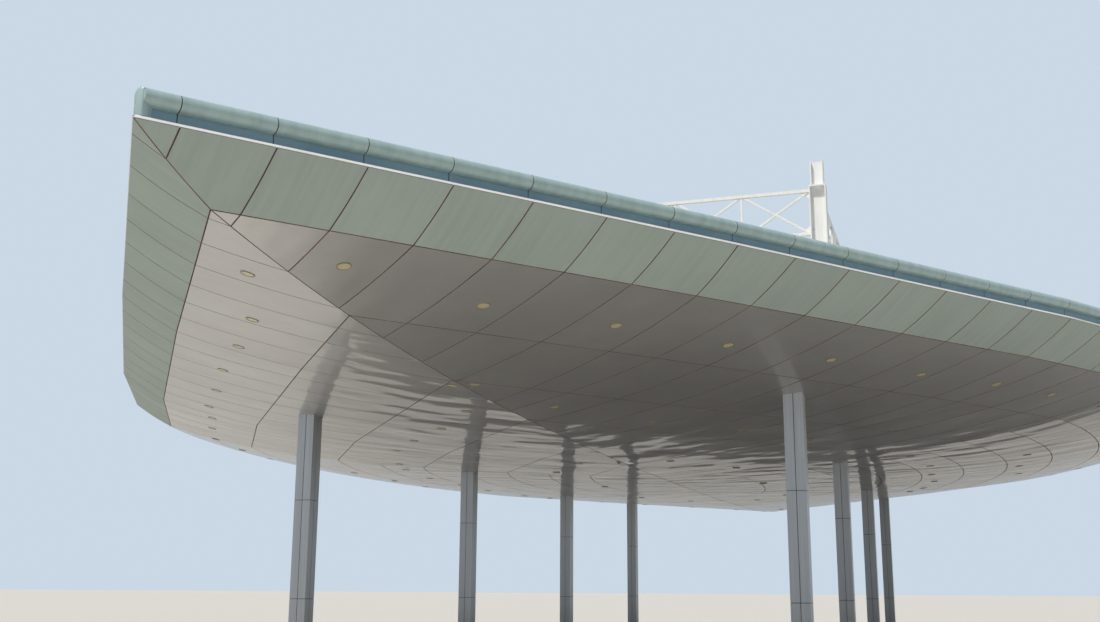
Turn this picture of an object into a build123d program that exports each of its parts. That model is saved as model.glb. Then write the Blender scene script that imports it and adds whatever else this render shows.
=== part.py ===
from build123d import *
from math import asin, cos, degrees, exp, hypot, radians, sin
import os

# Filling station canopy, a leaf shaped roof with a boat hull soffit on eight columns.
# The model is half size, so every length below is half of the real one, in millimetres.
# X runs across the canopy, Y along it from prow to prow, and Z up from the ground.

# Plan of the edge, from the near prow along the right side to the belly
prow_reach = 13965.0
tip_panel = 200.0
panel_pitch = 605.0
prow_panels = 7
flank_panels = 7
prow_heading = 37.7
flank_heading = 36.8
shoulder_heading = 33.1
shoulder_length = 2690.0
belly_radius = 13229.0
belly_panels = 8

# Hull profile, height against distance in from the edge
lip_height = 3308.0
fascia_height = 295.0
fascia_depth = 480.0
fascia_bulge = 12.0
hull_drop = 903.0
hull_run = 1981.0
soffit_thickness = 40.0
first_band_width = 1110.0
middle_bands = 4
keel_band_width = 1224.0
joint_gap = 8.0

# Edge trim, recessed band and bullnose coping, above the lip
trim_height = 22.0
trim_overhang = 8.0
trim_depth = 84.0
recess_setback = 40.0
recess_height = 72.0
coping_overhang = 30.0
coping_height = 92.0
coping_width = 190.0
coping_cutback = 38.0
coping_fall = 6.0

# Bullnose outline, as lengths out from the edge and heights above the recessed band
cove_reach = 21.0
cove_rise = 17.0
nose_rise = 42.0
brow_reach = 24.0
brow_rise = 64.0
crown_reach = 4.0
crown_rise = 83.0
top_setback = 40.0

# Roof deck inside the coping
deck_thickness = 24.0
deck_below_coping = 62.0
deck_clearance = 0.3

# Columns in two rows of four
row_spacing = 5333.0
prow_overhang = 6840.0
columns_in_row = 4
column_size = 190.0
column_joints = (700.0, 1750.0)
column_groove = 6.0
column_clearance = 4.0

# Steel inside the roof
girder_drop = 528.0
girder_width = 150.0
girder_web = 24.0
girder_flange = 30.0
girder_overrun = 300.0
rib_end_gap = 620.0
rib_end_depth = 260.0

# Masts and trusses on the roof
mast_spacing = 5054.0
mast_top = 6745.0
mast_depth = 180.0
mast_width = 150.0
mast_plate = 16.0
casing_depth = 232.0
casing_width = 180.0
casing_top = 6385.0
base_plate = 380.0
base_plate_thickness = 30.0
cap_plate_thickness = 20.0
top_chord_height = 6324.0
truss_depth = 630.0
truss_panels = 5
chord_size = 44.0
web_bar_size = 28.0

# Values worked out from the driving sizes
prow_length = tip_panel + prow_panels * panel_pitch
flank_length = flank_panels * panel_pitch
fascia_underside = lip_height - fascia_height
keel_height = lip_height - hull_drop
girder_underside = lip_height - girder_drop
trim_top = lip_height + trim_height
recess_top = trim_top + recess_height
coping_top = recess_top + coping_height
deck_top = coping_top - deck_below_coping
deck_underside = deck_top - deck_thickness
trim_inside = trim_depth - trim_overhang
coping_inside = coping_width - coping_overhang
column_neck = column_size - 2 * column_groove
half_row = row_spacing / 2
row_half_length = prow_reach - prow_overhang
column_pitch = 2 * row_half_length / (columns_in_row - 1)
row_places = [number * column_pitch - row_half_length for number in range(columns_in_row)]


# Directions of a stretch of the edge, from its heading against the long axis
def inward(heading):
    return Vector(-cos(radians(heading)), sin(radians(heading)), 0)


def forward(heading):
    return Vector(sin(radians(heading)), cos(radians(heading)), 0)


# Corners of the edge on the near right quarter, three long stretches and the panels of the belly
tip = Vector(0, -prow_reach, 0)
bend = tip + forward(prow_heading) * prow_length
knee = bend + forward(flank_heading) * flank_length
shoulder = knee + forward(shoulder_heading) * shoulder_length
belly_heading = degrees(asin(-shoulder.Y / belly_radius))
belly_turn = belly_heading / belly_panels
belly_centre = Vector(shoulder.X - belly_radius * cos(radians(belly_heading)), 0, 0)
belly_half_width = belly_centre.X + belly_radius


def belly_point(number):
    return belly_centre - inward(belly_heading - number * belly_turn) * belly_radius


belly_headings = [belly_heading - (number + 0.5) * belly_turn for number in range(belly_panels)]
edge_points = [tip, bend, knee, *[belly_point(number) for number in range(belly_panels + 1)]]
edge_headings = [prow_heading, flank_heading, shoulder_heading, *belly_headings, -belly_headings[-1]]
last_band_start = belly_half_width - keel_band_width
first_band_end = fascia_depth + first_band_width
band_pitch = (last_band_start - first_band_end) / middle_bands
band_joints = [first_band_end + band_pitch * number for number in range(middle_bands + 1)]


# A ray is the vertical cut between two stretches of the edge, on the mean of their headings
def ray(point, before, after):
    return {"point": point, "heading": (before + after) / 2}


def ray_cut(cut, side):
    normal = forward(cut["heading"]) * side
    return Plane(origin=cut["point"] + normal * joint_gap / 2, z_dir=normal)


bend_ray = ray(bend, prow_heading, flank_heading)
knee_ray = ray(knee, flank_heading, shoulder_heading)
shoulder_ray = ray(shoulder, shoulder_heading, belly_headings[0])
axis_cut = Plane(origin=(joint_gap / 2, 0, 0), z_dir=(1, 0, 0))
middle_cut = Plane(origin=(0, -joint_gap / 2, 0), z_dir=(0, -1, 0))

overshoot = 300.0


# How far in from its edge a stretch still reaches the long axis
def reach_of(start, heading, end_cut):
    run_in = end_cut["point"].X / cos(radians(end_cut["heading"]))
    on_axis = end_cut["point"] + inward(end_cut["heading"]) * run_in
    return (on_axis - start).dot(inward(heading))


def straight_run(start, heading, length, start_cut, end_cut):
    cuts = [axis_cut, ray_cut(end_cut, -1)]
    if start_cut:
        cuts.append(ray_cut(start_cut, 1))
    before = start - forward(heading) * overshoot
    beyond = start + forward(heading) * (length + overshoot)
    return {"line": [before, beyond], "reach": reach_of(start, heading, end_cut), "cuts": cuts}


belly_run = {
    "line": [belly_point(number) for number in range(-1, belly_panels + 2)],
    "reach": belly_half_width,
    "cuts": [axis_cut, ray_cut(shoulder_ray, 1), middle_cut],
}
edge_runs = [
    straight_run(tip, prow_heading, prow_length, None, bend_ray),
    straight_run(bend, flank_heading, flank_length, bend_ray, knee_ray),
    straight_run(knee, shoulder_heading, shoulder_length, knee_ray, shoulder_ray),
    belly_run,
]


# One field follows one stretch of the edge with a section drawn as distance in against height
def edge_field(run, section, extra_cuts):
    line = run["line"]
    along = (line[1] - line[0]).normalized()
    across = Vector(-along.Y, along.X, 0)
    with BuildPart() as field:
        with BuildLine():
            Polyline(*line)
        with BuildSketch(Plane(origin=line[0], x_dir=across, z_dir=along)):
            add(section)
        sweep(transition=Transition.RIGHT)
        for cut in [*run["cuts"], *extra_cuts]:
            split(bisect_by=cut, keep=Keep.TOP)
    return field.part


# The fields of the right side of the canopy, near and far
def edge_fields(section, start=0.0, extra_cuts=()):
    runs = [run for run in edge_runs if run["reach"] > start + joint_gap]
    quarter = [edge_field(run, section, extra_cuts) for run in runs]
    return quarter + [mirror(field, about=Plane.XZ) for field in quarter]


# The leaf outline at a distance in from the edge
def leaf_sketch(inset):
    near = [(0.0, -prow_reach + inset / sin(radians(prow_heading)))]
    for point, before, after in zip(edge_points[1:], edge_headings, edge_headings[1:]):
        run_in = inset / cos(radians(before - after) / 2)
        corner = point + inward((before + after) / 2) * run_in
        near.append((corner.X, corner.Y))
    far = [(x, -y) for x, y in reversed(near[:-1])]
    with BuildSketch() as leaf:
        with BuildLine():
            Polyline(*near, *far)
            mirror(about=Plane.YZ)
        make_face()
    return leaf.sketch


# Sections of the edge, drawn with x as distance in from the edge and y as height
def hull_height(inset):
    return keel_height + (fascia_underside - keel_height) * exp((fascia_depth - inset) / hull_run)


def band_section(start, end):
    under = [(inset, hull_height(inset)) for inset in (start, end)]
    over = [(inset, height + soffit_thickness) for inset, height in reversed(under)]
    with BuildSketch() as section:
        with BuildLine():
            Polyline(*under, *over, close=True)
        make_face()
    return section.sketch


def fascia_section():
    lip = (0.0, lip_height)
    heel = (fascia_depth, fascia_underside)
    length = hypot(fascia_depth, fascia_height)
    bulge = (
        fascia_depth / 2 - fascia_bulge * fascia_height / length,
        lip_height - fascia_height / 2 - fascia_bulge * fascia_depth / length,
    )
    raised_heel = (fascia_depth, fascia_underside + soffit_thickness)
    with BuildSketch() as section:
        with BuildLine():
            Polyline(lip, bulge, heel, raised_heel, (trim_inside, lip_height), close=True)
        make_face()
    return section.sketch


def block_section(near_inset, far_inset, underside, top):
    with BuildSketch() as section:
        with Locations(((near_inset + far_inset) / 2, (underside + top) / 2)):
            Rectangle(far_inset - near_inset, top - underside)
    return section.sketch


def coping_section():
    with BuildSketch() as section:
        with BuildLine():
            Polyline(
                (trim_inside, recess_top),
                (recess_setback, recess_top),
                (-cove_reach, recess_top + cove_rise),
                (-coping_overhang, recess_top + nose_rise),
                (-brow_reach, recess_top + brow_rise),
                (-crown_reach, recess_top + crown_rise),
                (top_setback, coping_top),
                (coping_inside, coping_top - coping_fall),
                (coping_inside, deck_underside),
                (trim_inside, deck_underside),
                close=True,
            )
        make_face()
    return section.sketch


os.makedirs("parts", exist_ok=True)


def save(part, name):
    part.label = name
    export_step(part, f"parts/{name}.step")


def save_sides(right_part, name):
    save(right_part, f"{name}_right")
    save(mirror(right_part, about=Plane.YZ), f"{name}_left")


# Soffit bands, the panels between two joints that run parallel to the edge
band_starts = [fascia_depth, *band_joints]
band_ends = [*band_joints, belly_half_width + overshoot]
column_hole = column_size + 2 * column_clearance
for number, (start, end) in enumerate(zip(band_starts, band_ends), 1):
    fields = edge_fields(band_section(start, end), start)
    with BuildPart() as soffit_band:
        add(fields)
        with BuildSketch():
            with Locations(*[(half_row, y) for y in row_places]):
                Rectangle(column_hole, column_hole)
        extrude(amount=deck_underside, mode=Mode.SUBTRACT)
    save_sides(soffit_band.part, f"soffit_band_{number}")

# Fascia with its white lip trim, the recessed strip and the bullnose coping
fields = edge_fields(fascia_section())
with BuildPart() as fascia:
    add(fields)
save_sides(fascia.part, "fascia")

fields = edge_fields(block_section(-trim_overhang, trim_inside, lip_height, trim_top))
with BuildPart() as lip_trim:
    add(fields)
save_sides(lip_trim.part, "lip_trim")

fields = edge_fields(block_section(recess_setback, trim_inside, trim_top, recess_top))
with BuildPart() as recess_strip:
    add(fields)
save_sides(recess_strip.part, "recess_strip")

prow_cut = Plane(origin=(0, -prow_reach + coping_cutback, 0), z_dir=(0, 1, 0))
fields = edge_fields(coping_section(), extra_cuts=[prow_cut])
with BuildPart() as coping:
    add(fields)
save_sides(coping.part, "coping")

# Roof deck inside the coping
with BuildPart() as roof_deck:
    with BuildSketch(Plane.XY.offset(deck_underside)):
        add(leaf_sketch(coping_inside + deck_clearance))
    extrude(amount=deck_thickness)
save(roof_deck.part, "roof_deck")

# Columns, a core with casing panels at the corners, open joints between the panels
corner_panel = (column_size - column_groove) / 2
corner_offset = (column_size - corner_panel) / 2
casing_feet = [0.0, *[joint + column_groove / 2 for joint in column_joints]]
casing_heads = [*[joint - column_groove / 2 for joint in column_joints], girder_underside]
for side, x in (("left", -half_row), ("right", half_row)):
    for number, y in enumerate(row_places, 1):
        with BuildPart() as column:
            with BuildSketch():
                with Locations((x, y)):
                    Rectangle(column_neck, column_neck)
            extrude(amount=girder_underside)
            for foot, head in zip(casing_feet, casing_heads):
                with BuildSketch(Plane.XY.offset(foot)):
                    with Locations((x, y)):
                        with GridLocations(2 * corner_offset, 2 * corner_offset, 2, 2):
                            Rectangle(corner_panel, corner_panel)
                extrude(amount=head - foot)
        save(column.part, f"column_{side}_{number}")

# Main girders over the column rows
girder_half_length = row_half_length + girder_overrun
girder_depth = deck_underside - girder_underside
for side, x in (("left", -half_row), ("right", half_row)):
    with BuildPart() as girder:
        with BuildSketch(Plane.XZ.offset(-girder_half_length)):
            with Locations((x, girder_underside + girder_depth / 2)):
                Rectangle(girder_web, girder_depth)
            with Locations((x, girder_underside + girder_flange / 2), (x, deck_underside - girder_flange / 2)):
                Rectangle(girder_width, girder_flange)
        extrude(amount=2 * girder_half_length)
    save(girder.part, f"main_girder_{side}")


# Cross beams at the columns, tapered out to the edge
def edge_x_at(y):
    low, high = next(pair for pair in zip(edge_points, edge_points[1:]) if pair[1].Y >= -abs(y))
    share = (-abs(y) - low.Y) / (high.Y - low.Y)
    return low.X + share * (high.X - low.X)


for number, y in enumerate(row_places, 1):
    arm_start = half_row + girder_width / 2
    arm_end = edge_x_at(y) - rib_end_gap
    with BuildPart() as cross_beam:
        with BuildSketch(Plane.XZ.offset(-y - girder_web / 2)):
            with BuildLine():
                Polyline(
                    (arm_start, girder_underside),
                    (arm_end, deck_underside - rib_end_depth),
                    (arm_end, deck_underside),
                    (arm_start, deck_underside),
                    close=True,
                )
            make_face()
            mirror(about=Plane.YZ)
            with Locations((0, girder_underside + girder_depth / 2)):
                Rectangle(2 * half_row - girder_width, girder_depth)
        extrude(amount=girder_web)
    save(cross_beam.part, f"cross_beam_{number}")


# Masts of two stacked H sections on the roof
def mast_layers():
    shaft_top = casing_top - cap_plate_thickness
    foot_top = deck_top + base_plate_thickness
    return [
        (foot_top, shaft_top, casing_depth, casing_width),
        (casing_top, mast_top, mast_depth, mast_width),
    ]


half_mast_x = mast_spacing / 2
half_mast_y = column_pitch / 2
for side, x in (("left", -half_mast_x), ("right", half_mast_x)):
    for end, y in (("near", -half_mast_y), ("far", half_mast_y)):
        with BuildPart() as mast:
            with BuildSketch(Plane.XY.offset(deck_top)):
                with Locations((x, y)):
                    Rectangle(base_plate, base_plate)
            extrude(amount=base_plate_thickness)
            for foot, head, depth, width in mast_layers():
                with BuildSketch(Plane.XY.offset(foot)):
                    with Locations((x, y)):
                        Rectangle(depth, mast_plate)
                    with Locations((x - (depth - mast_plate) / 2, y), (x + (depth - mast_plate) / 2, y)):
                        Rectangle(mast_plate, width)
                extrude(amount=head - foot)
            with BuildSketch(Plane.XY.offset(casing_top - cap_plate_thickness)):
                with Locations((x, y)):
                    Rectangle(casing_depth, casing_width)
            extrude(amount=cap_plate_thickness)
        save(mast.part, f"mast_{end}_{side}")


# Trusses between the masts, braced with a cross in each panel
def truss_bars(start, end):
    span = Vector(*end, 0) - Vector(*start, 0)
    nodes = [Vector(*start, 0) + span * (number / truss_panels) for number in range(truss_panels + 1)]
    top = [node + Vector(0, 0, top_chord_height) for node in nodes]
    bottom = [node - Vector(0, 0, truss_depth) for node in top]
    bars = [(top[0], top[-1], chord_size), (bottom[0], bottom[-1], chord_size)]
    bars += [(low, high, web_bar_size) for low, high in zip(bottom[1:-1], top[1:-1])]
    for number in range(truss_panels):
        bars.append((bottom[number], top[number + 1], web_bar_size))
        bars.append((top[number], bottom[number + 1], web_bar_size))
    return bars


def build_truss(start, end, name):
    span = Vector(*end, 0) - Vector(*start, 0)
    with BuildPart() as truss:
        for low, high, size in truss_bars(start, end):
            run = high - low
            with BuildSketch(Plane(origin=low, x_dir=span.cross(Vector(0, 0, 1)), z_dir=run)):
                Rectangle(size, size)
            extrude(amount=run.length)
        split(bisect_by=Plane(origin=(*start, 0), z_dir=span), keep=Keep.TOP)
        split(bisect_by=Plane(origin=(*end, 0), z_dir=-span), keep=Keep.TOP)
    save(truss.part, name)


face_x = half_mast_x - casing_depth / 2
face_y = half_mast_y - mast_plate / 2
build_truss((-face_x, -half_mast_y), (face_x, -half_mast_y), "truss_near")
build_truss((-face_x, half_mast_y), (face_x, half_mast_y), "truss_far")
build_truss((-half_mast_x, -face_y), (-half_mast_x, face_y), "truss_left")
build_truss((half_mast_x, -face_y), (half_mast_x, face_y), "truss_right")
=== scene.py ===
# %% [markdown]
# A leaf shaped canopy over a filling station, dressed for a picture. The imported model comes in
# first, as the fixed frame. It gives every solid its place, in metres, with the ground at height
# zero. Nothing here moves it: new pieces are laid over it, and its solids get materials.

import math
import random

import bpy
from mathutils import Matrix, Vector


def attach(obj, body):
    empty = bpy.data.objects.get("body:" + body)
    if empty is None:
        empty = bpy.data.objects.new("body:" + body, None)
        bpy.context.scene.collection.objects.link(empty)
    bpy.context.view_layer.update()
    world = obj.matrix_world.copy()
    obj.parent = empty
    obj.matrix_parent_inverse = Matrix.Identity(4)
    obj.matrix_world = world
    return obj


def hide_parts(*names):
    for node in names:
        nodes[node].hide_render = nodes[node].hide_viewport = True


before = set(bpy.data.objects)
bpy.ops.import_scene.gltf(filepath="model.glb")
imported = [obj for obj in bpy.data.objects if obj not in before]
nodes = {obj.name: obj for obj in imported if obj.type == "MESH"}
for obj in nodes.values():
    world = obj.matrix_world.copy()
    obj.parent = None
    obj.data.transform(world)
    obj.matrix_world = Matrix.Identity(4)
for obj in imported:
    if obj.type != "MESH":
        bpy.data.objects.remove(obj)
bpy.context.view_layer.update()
print("nodes in the frame:", len(nodes))

# %% [markdown]
# The camera stands on the ground near the prow, to the right of the long axis, and looks up at
# the hull. Its place and its three angles were worked out from the corners of the columns, the
# hip line and the lip. A camera looks along its own -Z, so its turn is built from the three
# directions that it should have.

# %% The camera
camera_place = Vector((4.151, -19.229, 0.8))
camera_yaw = math.radians(18.341)
camera_pitch = math.radians(12.815)
camera_roll = math.radians(0.335)
lens_length = 40.24
film_width = 36
far_limit = 2000
level_ahead = Vector((-math.sin(camera_yaw), math.cos(camera_yaw), 0))
level_right = Vector((math.cos(camera_yaw), math.sin(camera_yaw), 0))
upright = Vector((0, 0, 1))
ahead = level_ahead * math.cos(camera_pitch) + upright * math.sin(camera_pitch)
above = upright * math.cos(camera_pitch) - level_ahead * math.sin(camera_pitch)
frame_right = level_right * math.cos(camera_roll) + above * math.sin(camera_roll)
frame_up = above * math.cos(camera_roll) - level_right * math.sin(camera_roll)

camera_data = bpy.data.cameras.new("camera")
camera_data.lens = lens_length
camera_data.sensor_width = film_width
camera_data.clip_end = far_limit
camera = bpy.data.objects.new("camera", camera_data)
axes = Matrix((frame_right, frame_up, -ahead)).transposed().to_4x4()
camera.matrix_world = Matrix.Translation(camera_place) @ axes
bpy.context.scene.collection.objects.link(camera)
bpy.context.scene.camera = camera
print("camera at", [round(value, 3) for value in camera.location])

# %% [markdown]
# A canopy stands in the open, so the light is an open sky and one high sun with soft edges. The
# sun stands behind the camera and a little to its left, as the shadow of the mast's flange on its
# web shows. The floor is a plain pale sheet. It throws light back up at the hull, which is all
# that lights the underside of a real canopy, and it keeps the shadow, which the satin panels then
# show as a dark middle. The view transform is Standard, so a colour comes out about as it is
# written.


# %% Helpers for colours and nodes
# the usual curve from a screen colour, as a hex code, to the amount of light
def srgb(code):
    light = []
    for at in (1, 3, 5):
        part = int(code[at : at + 2], 16) / 255
        light.append(part / 12.92 if part <= 0.04045 else ((part + 0.055) / 1.055) ** 2.4)
    return (*light, 1.0)


def link(tree, node, **sources):
    for name, source in sources.items():
        at = int(name[3:]) if name.startswith("in_") else name.replace("_", " ")
        tree.links.new(source, node.inputs[at])


# a setting is the value of a socket or of the node itself, or the stops of a colour ramp
def add_node(tree, kind, settings=None, **sources):
    node = tree.nodes.new(kind)
    for name, value in (settings or {}).items():
        if name == "stops":
            for stop, (place, code) in zip(node.color_ramp.elements, value):
                stop.position = place
                stop.color = srgb(code)
        elif isinstance(name, int) or name in node.inputs:
            node.inputs[name].default_value = value
        else:
            setattr(node, name, value)
    link(tree, node, **sources)
    return node


def new_material(name, settings):
    material = bpy.data.materials.new(name)
    material.use_nodes = True
    shader = material.node_tree.nodes["Principled BSDF"]
    for socket, value in settings.items():
        shader.inputs[socket].default_value = value
    print("finish:", name)
    return material, material.node_tree, shader


# %% Sky, sun and floor
bpy.context.scene.view_settings.view_transform = "Standard"
sky_light = 0.22
sky_seen = "#cad8e6"
sun_strength = 3.0
sun_width = math.radians(6)
world = bpy.data.worlds.new("open_sky")
world.use_nodes = True
bpy.context.scene.world = world
tree = world.node_tree
tree.nodes.clear()
path = add_node(tree, "ShaderNodeLightPath")
seen = path.outputs["Is Camera Ray"]
either = {"operation": "MAXIMUM"}
for ray in ("Is Glossy Ray", "Is Transmission Ray"):
    seen = add_node(tree, "ShaderNodeMath", either, in_0=seen, in_1=path.outputs[ray]).outputs[0]
glow = {"Color": srgb("#f4f6fa"), "Strength": sky_light}
lighting = add_node(tree, "ShaderNodeBackground", glow)
backdrop = add_node(tree, "ShaderNodeBackground", {"Color": srgb(sky_seen), "Strength": 1.0})
parts = {"in_1": lighting.outputs[0], "in_2": backdrop.outputs[0]}
mix = add_node(tree, "ShaderNodeMixShader", None, in_0=seen, **parts)
add_node(tree, "ShaderNodeOutputWorld", None, Surface=mix.outputs[0])

sun_data = bpy.data.lights.new("sun", "SUN")
sun_data.energy = sun_strength
sun_data.angle = sun_width
sun_data.color = srgb("#fffbf4")[:3]
sun = bpy.data.objects.new("sun", sun_data)
sun_from = Vector((-0.24, -0.47, 0.85))
sun.rotation_euler = sun_from.to_track_quat("Z", "Y").to_euler()
bpy.context.scene.collection.objects.link(sun)

floor_reach = 900
bpy.ops.object.select_all(action="DESELECT")
bpy.ops.mesh.primitive_plane_add(size=floor_reach)
floor = bpy.context.object
floor.name = "floor"
# smooth pale concrete is matt, so it throws back an even light and no mirror image
plain = {"Base Color": srgb("#dad8d4"), "Roughness": 0.9}
floor_finish, tree, shader = new_material("pale_concrete_floor", plain)
floor.data.materials.append(floor_finish)
print("light and floor are set")

# %% [markdown]
# The edge of the leaf, seen from above, runs from the near prow along the right side. It has
# three straight stretches with slight corners between them, and then the round belly. All that
# clads the canopy follows this line, so it is written once, with the names that a setter-out
# uses: a heading is an angle from the long axis, and an inset is a distance in from the edge.

# %% The line of the edge
prow_reach = 13.965
headings = {"prow": 37.7, "flank": 36.8, "shoulder": 33.1}
lengths = {"prow": 4.435, "flank": 4.235, "shoulder": 2.69}
belly_radius = 13.229
panel_pitch = 0.605
overshoot = 0.3


def forward(heading):
    return Vector((math.sin(math.radians(heading)), math.cos(math.radians(heading)), 0))


def inward(heading):
    return Vector((-math.cos(math.radians(heading)), math.sin(math.radians(heading)), 0))


corners = {"prow": Vector((0, -prow_reach, 0))}
corners["flank"] = corners["prow"] + forward(headings["prow"]) * lengths["prow"]
corners["shoulder"] = corners["flank"] + forward(headings["flank"]) * lengths["flank"]
corners["belly"] = corners["shoulder"] + forward(headings["shoulder"]) * lengths["shoulder"]
headings["belly"] = math.degrees(math.asin(-corners["belly"].y / belly_radius))
centre_x = corners["belly"].x - belly_radius * math.cos(math.radians(headings["belly"]))
belly_centre = Vector((centre_x, 0, 0))
belly_half_width = belly_centre.x + belly_radius
lengths["belly"] = math.radians(headings["belly"]) * belly_radius
print("half width at the belly:", round(belly_half_width, 3))
print("length of the belly on a quarter:", round(lengths["belly"], 3))

# %% [markdown]
# Each stretch ends at a mitre, halfway between its heading and the next one. The panels along it
# are even, but for the first three at the prow, which are cut to fit the point.

# %% Where one stretch ends and where its panels are jointed
prow_joints = [0.266, 0.835, 1.418]
even_joints_from = 2.015
belly_panels = 8
stretches = ["prow", "flank", "shoulder", "belly"]
mitres = {}
for before, after in zip(stretches, stretches[1:]):
    mitres[before] = (corners[after], (headings[before] + headings[after]) / 2)

before_stretch = {"prow": 0.0}
for before, after in zip(stretches, stretches[1:]):
    before_stretch[after] = before_stretch[before] + lengths[before]

panel_joints = {
    "prow": prow_joints + [even_joints_from + panel_pitch * number for number in range(4)],
    "flank": [panel_pitch * number for number in range(1, 7)],
    "shoulder": [panel_pitch * number for number in range(1, 5)],
    "belly": [lengths["belly"] / belly_panels * number for number in range(1, belly_panels)],
}
print("panel joints on a quarter:", sum(len(places) for places in panel_joints.values()))

# %% [markdown]
# Cladding is rolled or folded sheet with the same section all along the edge. By hand it would be
# drawn as one line of points, the section, and then extruded along the edge, or spun round the
# belly. Each stretch is cut off square to the mean of its two headings, which gives the mitres. A
# plane melted into one vertex is the start, because a section grows from a point.


# %% Selecting a piece and starting a new one
def only_select(piece):
    bpy.ops.object.select_all(action="DESELECT")
    piece.select_set(True)
    bpy.context.view_layer.objects.active = piece


def edit(piece, chosen="SELECT"):
    only_select(piece)
    bpy.ops.object.mode_set(mode="EDIT")
    bpy.ops.mesh.select_all(action=chosen)


def done():
    bpy.ops.object.mode_set(mode="OBJECT")


def new_piece(name, finishes):
    bpy.ops.object.select_all(action="DESELECT")
    bpy.ops.mesh.primitive_plane_add(size=1)
    piece = bpy.context.object
    piece.name = name
    piece.data.name = name
    for finish in finishes:
        piece.data.materials.append(finish)
    bpy.ops.object.mode_set(mode="EDIT")
    bpy.ops.mesh.select_all(action="SELECT")
    return piece


def close_up():
    bpy.ops.mesh.select_all(action="SELECT")
    bpy.ops.mesh.normals_make_consistent(inside=False)
    done()


def empty_piece(name, finishes):
    piece = new_piece(name, finishes)
    bpy.ops.mesh.delete(type="VERT")
    return piece


# %% Drawing a section
weld_distance = 0.0001


def draw_section(name, finishes, heading, start, section):
    piece = new_piece(name, finishes)
    bpy.ops.mesh.merge(type="CENTER")
    first = section[0]
    bpy.ops.transform.translate(value=start + inward(heading) * first[0] + upright * first[1])
    for here, there in zip(section, section[1:]):
        step = inward(heading) * (there[0] - here[0]) + upright * (there[1] - here[1])
        bpy.ops.mesh.extrude_region_move(TRANSFORM_OT_translate={"value": step})
    bpy.ops.mesh.select_all(action="SELECT")
    if section[0] == section[-1]:
        bpy.ops.mesh.remove_doubles(threshold=weld_distance)
        bpy.ops.mesh.select_all(action="SELECT")
    return piece


# %% Sweeping it along a stretch, and cutting the ends
def cut(place, direction, keep="both", fill=False):
    bpy.ops.mesh.select_all(action="SELECT")
    bpy.ops.mesh.bisect(
        plane_co=place,
        plane_no=direction,
        use_fill=fill,
        clear_inner=keep == "ahead",
        clear_outer=keep == "behind",
    )


belly_step = math.radians(0.75)


def sweep(name, finishes, stretch, section, blunt_end=None):
    heading = headings[stretch]
    if stretch == "belly":
        extra = math.degrees(overshoot / belly_radius)
        heading += extra
        start = belly_centre - inward(heading) * belly_radius
        piece = draw_section(name, finishes, heading, start, section)
        turn = math.radians(heading + extra)
        steps = math.ceil(turn / belly_step)
        bpy.ops.mesh.spin(steps=steps, angle=turn, center=belly_centre, axis=(0, 0, -1))
        cut((0, 0, 0), (0, 1, 0), "behind")
    else:
        start = corners[stretch] - forward(heading) * overshoot
        piece = draw_section(name, finishes, heading, start, section)
        along = forward(heading) * (lengths[stretch] + 2 * overshoot)
        bpy.ops.mesh.extrude_region_move(TRANSFORM_OT_translate={"value": along})
        place, mean = mitres[stretch]
        cut(place, forward(mean), "behind")
    if stretch == "prow" and blunt_end is not None:
        cut((0, blunt_end, 0), (0, 1, 0), "ahead", fill=True)
    if stretch != "prow":
        place, mean = mitres[stretches[stretches.index(stretch) - 1]]
        cut(place, forward(mean), "ahead")
    cut((0, 0, 0), (1, 0, 0), "ahead")
    return piece


# %% [markdown]
# A clad surface is made of panels with open joints, about 10 mm wide here at half size, backed by
# a dark brown sealant. Each joint is a straight cut across the edge, and on the straight
# stretches all of them lean a little towards the prow. Splitting the mesh along the cuts leaves
# every panel an island, and one inset of all the islands gives each its folded rim. The outer
# line of each rim is then pushed back behind the face, so that two rims meet at the bottom of a
# real groove and no daylight shows.

# %% Sealant of the joints
# a gunned sealant dries matt and rough, so the joints read as dull brown lines
sealant, tree, shader = new_material("brown_polyurethane_joint_sealant", {"Roughness": 0.85})
where = add_node(tree, "ShaderNodeTexCoord").outputs["Object"]
# grime in the joints, in patches of about 300 mm
grime = add_node(tree, "ShaderNodeTexNoise", {"Scale": 3.3, "Detail": 4.0}, Vector=where)
browns = [(0.35, "#6a574b"), (0.65, "#8a7361")]
tone = add_node(tree, "ShaderNodeValToRGB", {"stops": browns}, in_0=grime.outputs[0])
link(tree, shader, Base_Color=tone.outputs[0])

# %% Cutting a swept surface into panels
joint_width = 0.010
narrow_joint = 0.006
hairline = 0.002
joint_depth = 0.012
joint_skew = 3.4
down = Vector((0, 0, -1))
outward = Vector((1, -0.5, 0.2))


def cut_joints(stretch):
    for place in panel_joints[stretch]:
        if stretch == "belly":
            turned = headings[stretch] - math.degrees(place / belly_radius)
            cut(belly_centre - inward(turned) * belly_radius, forward(turned))
        else:
            at = corners[stretch] + forward(headings[stretch]) * place
            cut(at, forward(headings[stretch] - joint_skew))
        bpy.ops.mesh.edge_split(type="EDGE")


# %% Splitting a panel along the edge, and facing its skin outwards
same_line = 0.001


def edge_place(point, stretch):
    if stretch == "belly":
        out = Vector((point.x, point.y, 0)) - belly_centre
        turned = headings["belly"] + math.degrees(math.atan2(out.y, out.x))
        return math.radians(turned) * belly_radius, belly_radius - out.length
    away = point - corners[stretch]
    return away.dot(forward(headings[stretch])), away.dot(inward(headings[stretch]))


def cut_along(piece, stretch, split_inset):
    done()
    for side in piece.data.edges:
        ends = [edge_place(piece.data.vertices[end].co, stretch)[1] for end in side.vertices]
        side.select = all(abs(inset - split_inset) < same_line for inset in ends)
    for part in (*piece.data.vertices, *piece.data.polygons):
        part.select = False
    bpy.ops.object.mode_set(mode="EDIT")
    bpy.ops.mesh.edge_split(type="EDGE")


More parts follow.
